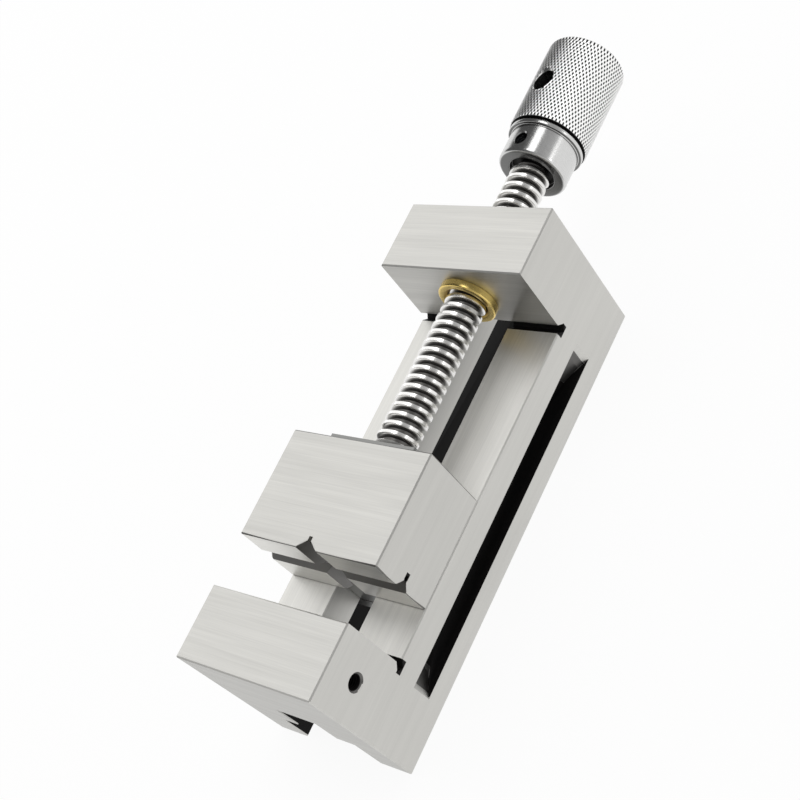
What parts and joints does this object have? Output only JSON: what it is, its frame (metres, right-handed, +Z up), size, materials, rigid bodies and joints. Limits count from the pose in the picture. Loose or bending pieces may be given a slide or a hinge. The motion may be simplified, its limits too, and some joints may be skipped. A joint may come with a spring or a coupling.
{
  "type": "precision grinding vise",
  "caption": "Low screw-operated grinding vise with a ground block body, a grooved sliding jaw, a trapezoidal lead screw in a brass nut and a knurled knob.",
  "frame": {"origin": "on the surface the vise stands on, under the middle of the whole vise's bounding box with the jaws open as drawn", "axes": "+X runs along the screw from the fixed jaw towards the knob, +Z is up, square to the base, +Y completes the right-handed frame"},
  "size_m": [0.2114, 0.05, 0.05],
  "materials": {
    "ground_steel": "ground",
    "jaw_steel": "ground",
    "hardened_steel": "ground",
    "black_oxide_steel": "black oxide",
    "spring_steel": "satin",
    "polished_steel": "polished",
    "bright_plated_steel": "bright plated, knurled grip",
    "turned_brass": "turned"
  },
  "bodies": {
    "vise": {"vise_body": "ground_steel", "brass_nut": "turned_brass", "nut_set_screw": "black_oxide_steel"},
    "jaw": {"movable_jaw": "jaw_steel", "guide_block": "hardened_steel", "keeper_plate": "hardened_steel", "keeper_screw_front": "black_oxide_steel", "keeper_screw_rear": "black_oxide_steel", "keeper_washer_front": "spring_steel", "keeper_washer_rear": "spring_steel", "jaw_back_plate": "hardened_steel", "back_plate_screw_left": "black_oxide_steel", "back_plate_screw_right": "black_oxide_steel", "thrust_disc": "hardened_steel"},
    "screw": {"lead_screw": "polished_steel", "knob": "bright_plated_steel", "knob_set_screw": "black_oxide_steel"}
  },
  "joints": [
    {"name": "jaw_slide", "type": "slide", "parent": "vise", "child": "jaw", "axis": [1, 0, 0], "range_m": [-0.0158, 0.0491]},
    {"name": "screw_turn", "type": "hinge", "parent": "jaw", "child": "screw", "pos_m": [0, 0, 0.037], "axis": [1, 0, 0], "range_deg": [-1897, 5893]}
  ],
  "couplings": [
    {"joint": "screw_turn", "follows": "jaw_slide", "rad_per_m": 2094.4}
  ]
}
